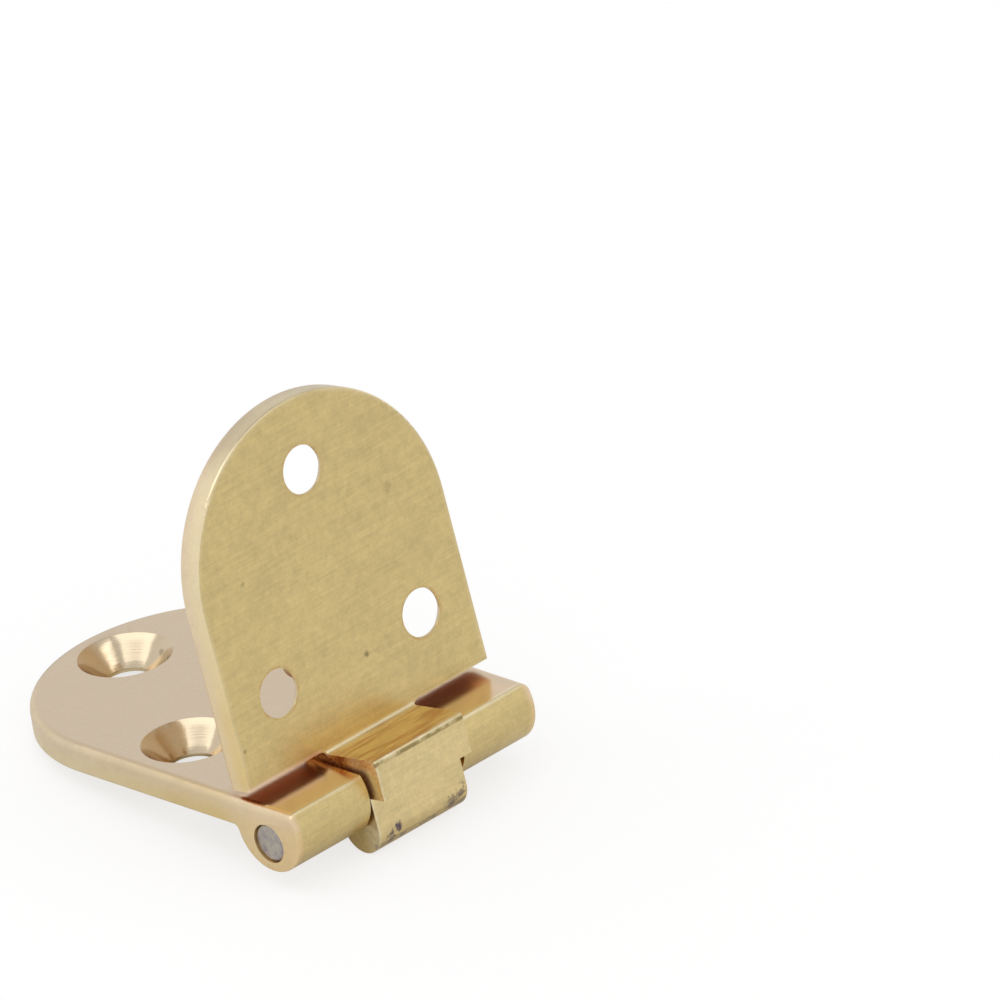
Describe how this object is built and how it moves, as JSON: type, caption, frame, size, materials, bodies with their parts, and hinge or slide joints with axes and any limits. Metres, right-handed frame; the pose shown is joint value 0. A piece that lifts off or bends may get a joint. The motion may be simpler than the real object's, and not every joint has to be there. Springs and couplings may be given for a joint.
{
  "type": "drop leaf table hinge",
  "caption": "Brass drop leaf table hinge: round-ended leaves of unequal length with countersunk screw holes, turning on a steel pin through knuckles set below their faces.",
  "frame": {"origin": "on the pin's axis, midway along the pin", "axes": "+Y along the pin, +Z the way the fixed leaf's countersunk face looks, the fixed leaf's plate towards -X"},
  "size_m": [0.0452, 0.03, 0.0411],
  "materials": {
    "brass": "satin, fine brushed",
    "steel": "dull cut end"
  },
  "bodies": {
    "fixed_side": {"fixed_leaf": "brass", "hinge_pin": "steel"},
    "flap_side": {"flap_leaf": "brass"}
  },
  "joints": [
    {"name": "flap_turn", "type": "hinge", "parent": "fixed_side", "child": "flap_side", "pos_m": [0, 0, 0], "axis": [0, 1, 0], "range_deg": [-7, 97.75]}
  ]
}
